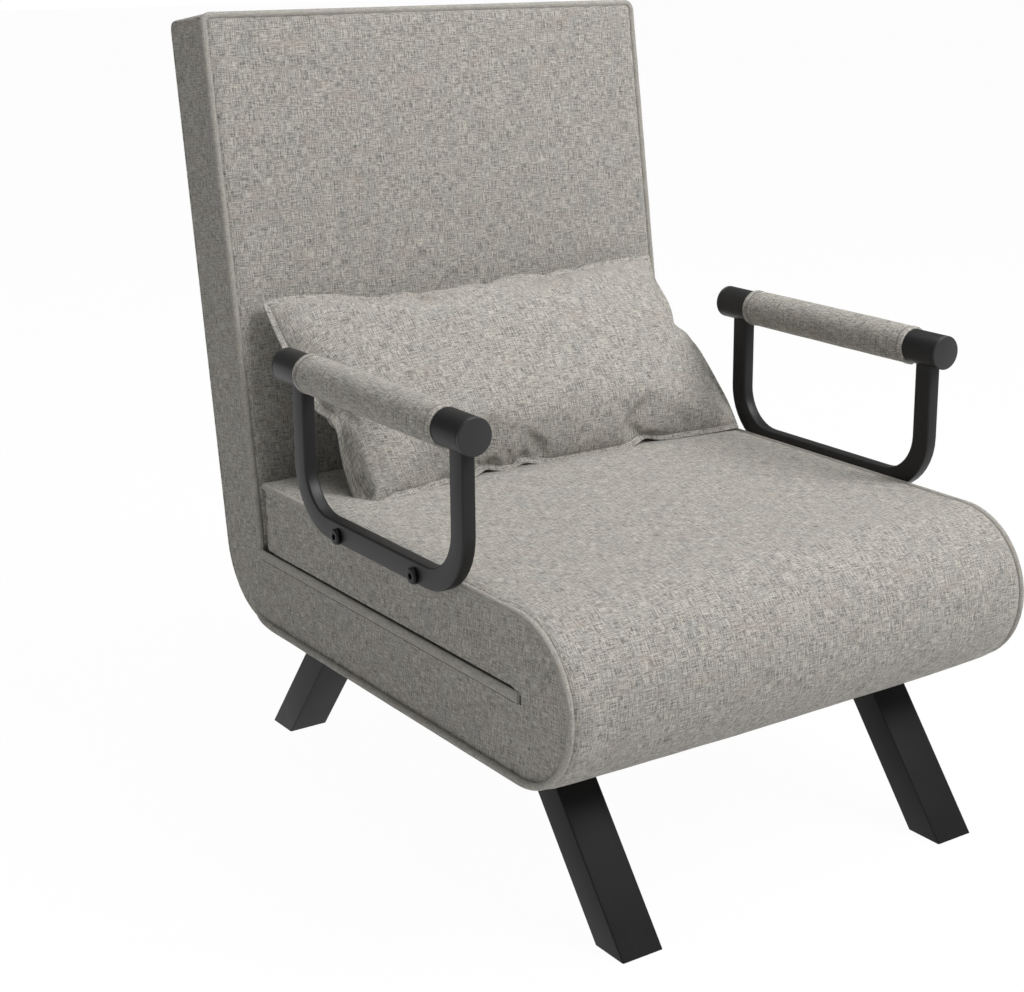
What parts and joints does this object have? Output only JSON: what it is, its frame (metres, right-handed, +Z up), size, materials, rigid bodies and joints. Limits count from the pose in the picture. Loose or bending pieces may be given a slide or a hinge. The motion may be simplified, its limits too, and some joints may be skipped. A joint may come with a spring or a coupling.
{
  "type": "convertible chair bed",
  "caption": "Chair that opens into a single bed: three hinged upholstered sections on slanted steel legs, two tube arms that become feet, a folding head leg and a loose pillow.",
  "frame": {"origin": "on the floor, under the middle of the chair's box at rest", "axes": "+Z up; the chair's front faces -Y; +X is the side that lies to the right in the picture"},
  "size_m": [0.691, 0.834, 0.9042],
  "materials": {
    "fabric": "heathered linen-look weave, light warm grey",
    "lining": "dark non-woven lining and webbing",
    "steel": "matt black powder coat",
    "bolt": "black oxide",
    "plastic": "fine matt grain, black",
    "rubber": "matt"
  },
  "bodies": {
    "base": {"base_cushion": "fabric", "base_frame": "steel", "base_sling": "lining", "base_dust_cover": "lining", "rail_left": "steel", "rail_right": "steel", "leg_front_left": "steel", "leg_front_right": "steel", "leg_rear_left": "steel", "leg_rear_right": "steel", "foot_plug_front_left": "plastic", "foot_plug_front_right": "plastic", "foot_plug_rear_left": "plastic", "foot_plug_rear_right": "plastic", "rail_bolt_rear_left": "bolt", "rail_bolt_front_left": "bolt", "rail_bolt_rear_right": "bolt", "rail_bolt_front_right": "bolt", "ratchet_plate_left": "steel", "ratchet_plate_right": "steel", "fold_pin_low_left": "bolt", "fold_pin_low_right": "bolt"},
    "back": {"back_cushion": "fabric", "back_frame": "steel", "back_sling": "lining", "back_panel": "fabric", "recline_arm_left": "steel", "recline_arm_right": "steel", "recline_tube": "steel", "head_bracket_left": "steel", "head_bracket_right": "steel", "head_pin_left": "bolt", "head_pin_right": "bolt"},
    "head_leg": {"head_leg": "steel", "head_leg_ring_left": "rubber", "head_leg_ring_right": "rubber"},
    "links": {"fold_link_left": "steel", "fold_link_right": "steel", "fold_crossbar": "steel", "front_roll": "fabric"},
    "seat": {"seat_pad": "fabric", "seat_foam": "fabric", "seat_frame": "steel", "seat_sling": "lining", "fold_pin_high_left": "bolt", "fold_pin_high_right": "bolt", "arm_frame_left": "steel", "arm_frame_right": "steel", "arm_sleeve_left": "fabric", "arm_sleeve_right": "fabric", "arm_cap_rear_left": "plastic", "arm_cap_front_left": "plastic", "arm_cap_rear_right": "plastic", "arm_cap_front_right": "plastic", "arm_bolt_rear_left": "bolt", "arm_bolt_front_left": "bolt", "arm_bolt_rear_right": "bolt", "arm_bolt_front_right": "bolt"},
    "pillow": {"pillow": "fabric"}
  },
  "joints": [
    {"name": "back_recline", "type": "hinge", "parent": "base", "child": "back", "pos_m": [0, 0.28622, 0.2088], "axis": [-1, 0, 0], "range_deg": [0, 81.9]},
    {"name": "head_leg_fold", "type": "hinge", "parent": "back", "child": "head_leg", "pos_m": [0, 0.40508, 0.68912], "axis": [1, 0, 0], "range_deg": [0, 90]},
    {"name": "seat_link_swing", "type": "hinge", "parent": "base", "child": "links", "pos_m": [0, -0.32406, 0.2068], "axis": [1, 0, 0], "range_deg": [0, 90], "deforming": ["pillow"]},
    {"name": "seat_unfold", "type": "hinge", "parent": "links", "child": "seat", "pos_m": [0, -0.32406, 0.3428], "axis": [1, 0, 0], "range_deg": [0, 90]},
    {"name": "pillow_slide", "type": "slide", "parent": "back", "child": "pillow", "axis": [0, 0.1409, 0.99], "range_m": [0, 0.3]}
  ],
  "couplings": [
    {"joint": "seat_unfold", "follows": "seat_link_swing", "ratio": 1}
  ]
}
